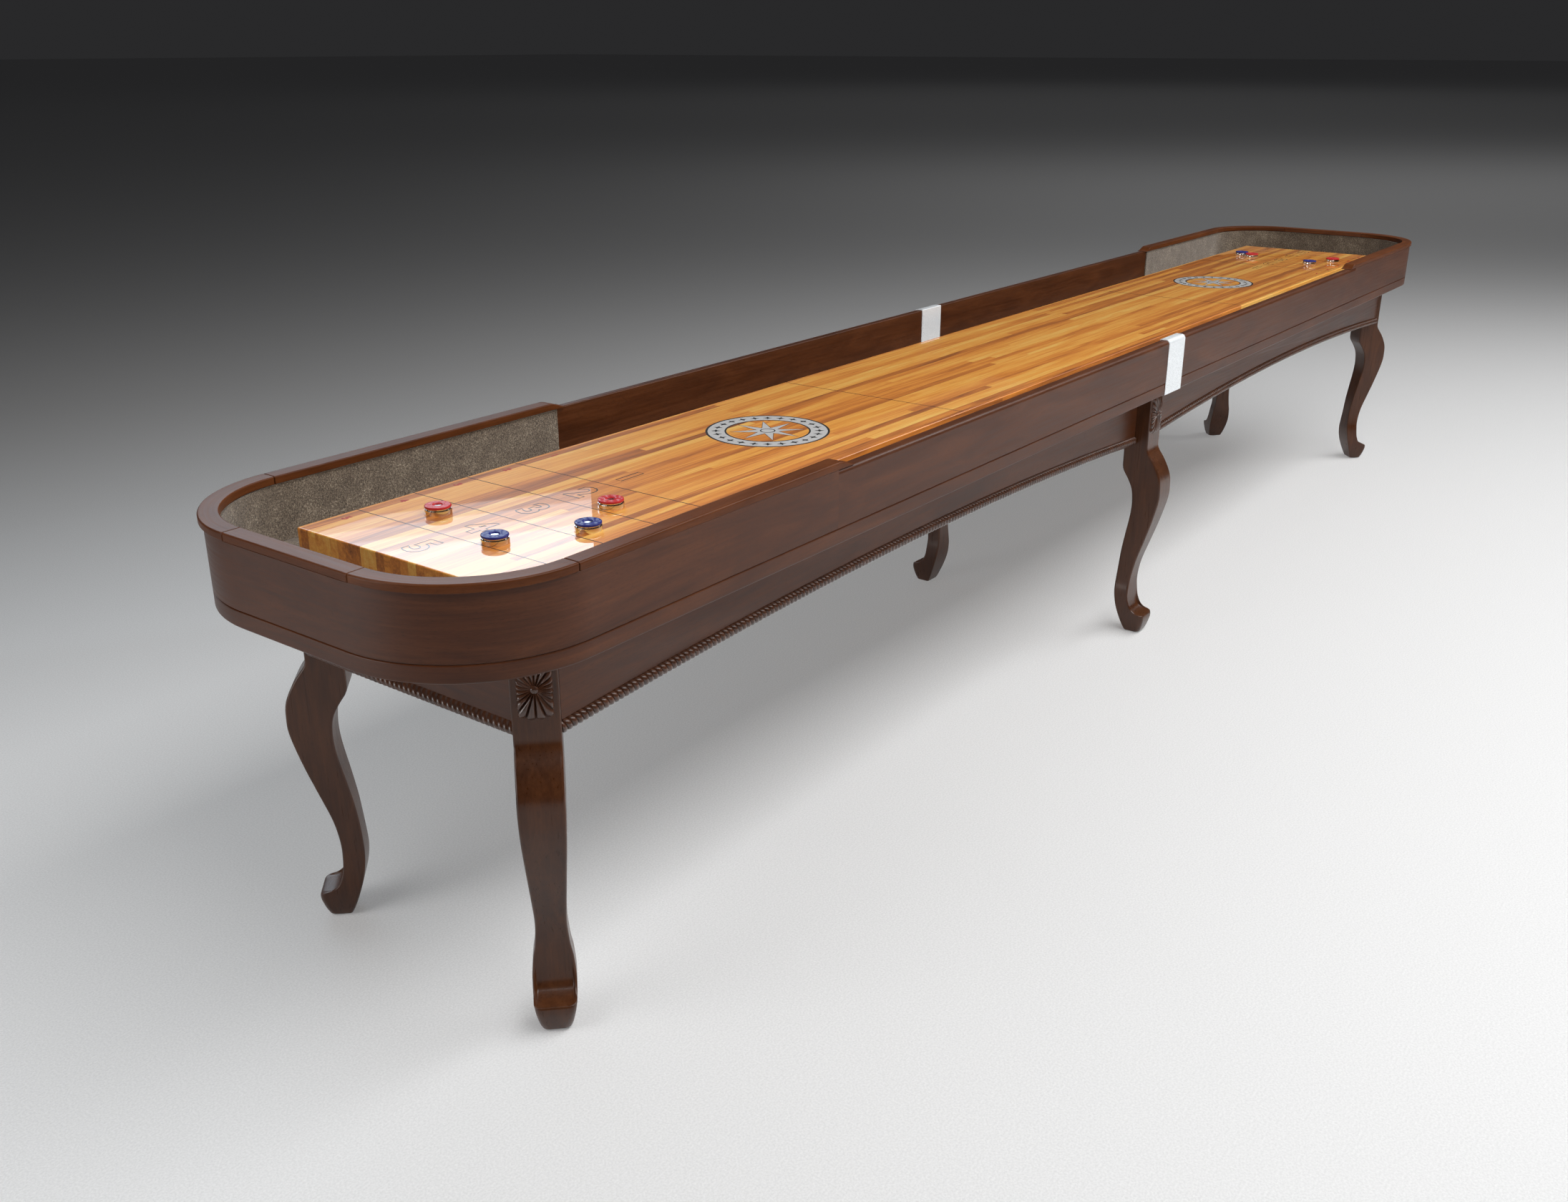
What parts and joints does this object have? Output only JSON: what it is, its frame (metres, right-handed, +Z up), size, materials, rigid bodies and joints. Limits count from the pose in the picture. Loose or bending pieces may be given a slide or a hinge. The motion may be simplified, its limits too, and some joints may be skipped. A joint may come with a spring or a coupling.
{
  "type": "shuffleboard table",
  "caption": "Long table-shuffleboard cabinet with raised rounded ends, carpeted gutters, a laminated playfield, roped aprons, carved cabriole legs and sliding pucks.",
  "frame": {"origin": "centre of the table's footprint on the floor", "axes": "+X along the table, from the near end to the far end; +Y across it, towards the left side as seen from the near end; +Z up"},
  "size_m": [5.13, 0.8266, 0.89],
  "materials": {
    "playfield": "clear gloss lacquer over laminated maple strips",
    "cabinet": "satin dark walnut lacquer",
    "cap": "semi-gloss walnut lacquer",
    "apron": "satin dark walnut lacquer",
    "leg": "semi-gloss walnut lacquer, worn at the edges",
    "carving": "carved walnut, darker in the hollows",
    "carpet": "speckled loop-pile carpet",
    "band": "glittering silver trim",
    "puck_steel": "polished",
    "red_plastic": "moulded",
    "blue_plastic": "moulded",
    "steel": "zinc-plated",
    "hidden_wood": "unfinished, inside the frame"
  },
  "bodies": {
    "table": {"playfield": "playfield", "low_rail_near_right": "cabinet", "low_rail_near_left": "cabinet", "low_rail_far_right": "cabinet", "low_rail_far_left": "cabinet", "end_wall_near": "cabinet", "end_wall_far": "cabinet", "corner_caps": "cap", "side_caps": "cap", "end_caps": "cap", "base_near": "cabinet", "base_far": "cabinet", "wall_carpet_near": "carpet", "wall_carpet_far": "carpet", "gutter_carpet": "carpet", "centre_bands": "band", "side_apron_near_right": "apron", "side_apron_near_left": "apron", "side_apron_far_right": "apron", "side_apron_far_left": "apron", "end_apron_near": "apron", "end_apron_far": "apron", "side_rope_mouldings": "carving", "end_rope_mouldings": "carving", "leg_near_right": "leg", "leg_near_left": "leg", "leg_mid_right": "leg", "leg_mid_left": "leg", "leg_far_right": "leg", "leg_far_left": "leg", "rosettes": "carving", "cradle_beams": "hidden_wood", "climatic_adjusters": "steel", "adjuster_bolts": "steel", "leg_blocks": "hidden_wood", "leg_bolts": "steel", "joint_plates": "steel", "joint_bolts": "steel"},
    "foot_near_right": {"leveler_near_right": "steel"},
    "foot_near_left": {"leveler_near_left": "steel"},
    "foot_mid_right": {"leveler_mid_right": "steel"},
    "foot_mid_left": {"leveler_mid_left": "steel"},
    "foot_far_right": {"leveler_far_right": "steel"},
    "foot_far_left": {"leveler_far_left": "steel"},
    "puck_1": {"puck_weight_1": "puck_steel", "puck_cap_1": "red_plastic"},
    "puck_2": {"puck_weight_2": "puck_steel", "puck_cap_2": "blue_plastic"},
    "puck_3": {"puck_weight_3": "puck_steel", "puck_cap_3": "blue_plastic"},
    "puck_4": {"puck_weight_4": "puck_steel", "puck_cap_4": "red_plastic"},
    "puck_5": {"puck_weight_5": "puck_steel", "puck_cap_5": "blue_plastic"},
    "puck_6": {"puck_weight_6": "puck_steel", "puck_cap_6": "red_plastic"},
    "puck_7": {"puck_weight_7": "puck_steel", "puck_cap_7": "blue_plastic"},
    "puck_8": {"puck_weight_8": "puck_steel", "puck_cap_8": "red_plastic"}
  },
  "joints": [
    {"name": "puck_1_slide", "type": "slide", "parent": "table", "child": "puck_1", "axis": [1, 0, 0], "range_m": [-0.181, 3.634]},
    {"name": "puck_2_slide", "type": "slide", "parent": "table", "child": "puck_2", "axis": [1, 0, 0], "range_m": [-0.129, 0.213]},
    {"name": "puck_3_slide", "type": "slide", "parent": "table", "child": "puck_3", "axis": [1, 0, 0], "range_m": [-0.275, 3.54]},
    {"name": "puck_4_slide", "type": "slide", "parent": "table", "child": "puck_4", "axis": [1, 0, 0], "range_m": [0, 3.417]},
    {"name": "puck_5_slide", "type": "slide", "parent": "table", "child": "puck_5", "axis": [1, 0, 0], "range_m": [-0.512, 0.283]},
    {"name": "puck_6_slide", "type": "slide", "parent": "table", "child": "puck_6", "axis": [1, 0, 0], "range_m": [-0.481, 0.314]},
    {"name": "puck_7_slide", "type": "slide", "parent": "table", "child": "puck_7", "axis": [1, 0, 0], "range_m": [-0.42, 0.375]},
    {"name": "puck_8_slide", "type": "slide", "parent": "table", "child": "puck_8", "axis": [1, 0, 0], "range_m": [-0.538, 0.257]},
    {"name": "foot_near_right_screw", "type": "slide", "parent": "table", "child": "foot_near_right", "axis": [0, 0, -1], "range_m": [0, 0.02]},
    {"name": "foot_near_left_screw", "type": "slide", "parent": "table", "child": "foot_near_left", "axis": [0, 0, -1], "range_m": [0, 0.02]},
    {"name": "foot_mid_right_screw", "type": "slide", "parent": "table", "child": "foot_mid_right", "axis": [0, 0, -1], "range_m": [0, 0.02]},
    {"name": "foot_mid_left_screw", "type": "slide", "parent": "table", "child": "foot_mid_left", "axis": [0, 0, -1], "range_m": [0, 0.02]},
    {"name": "foot_far_right_screw", "type": "slide", "parent": "table", "child": "foot_far_right", "axis": [0, 0, -1], "range_m": [0, 0.02]},
    {"name": "foot_far_left_screw", "type": "slide", "parent": "table", "child": "foot_far_left", "axis": [0, 0, -1], "range_m": [0, 0.02]}
  ]
}
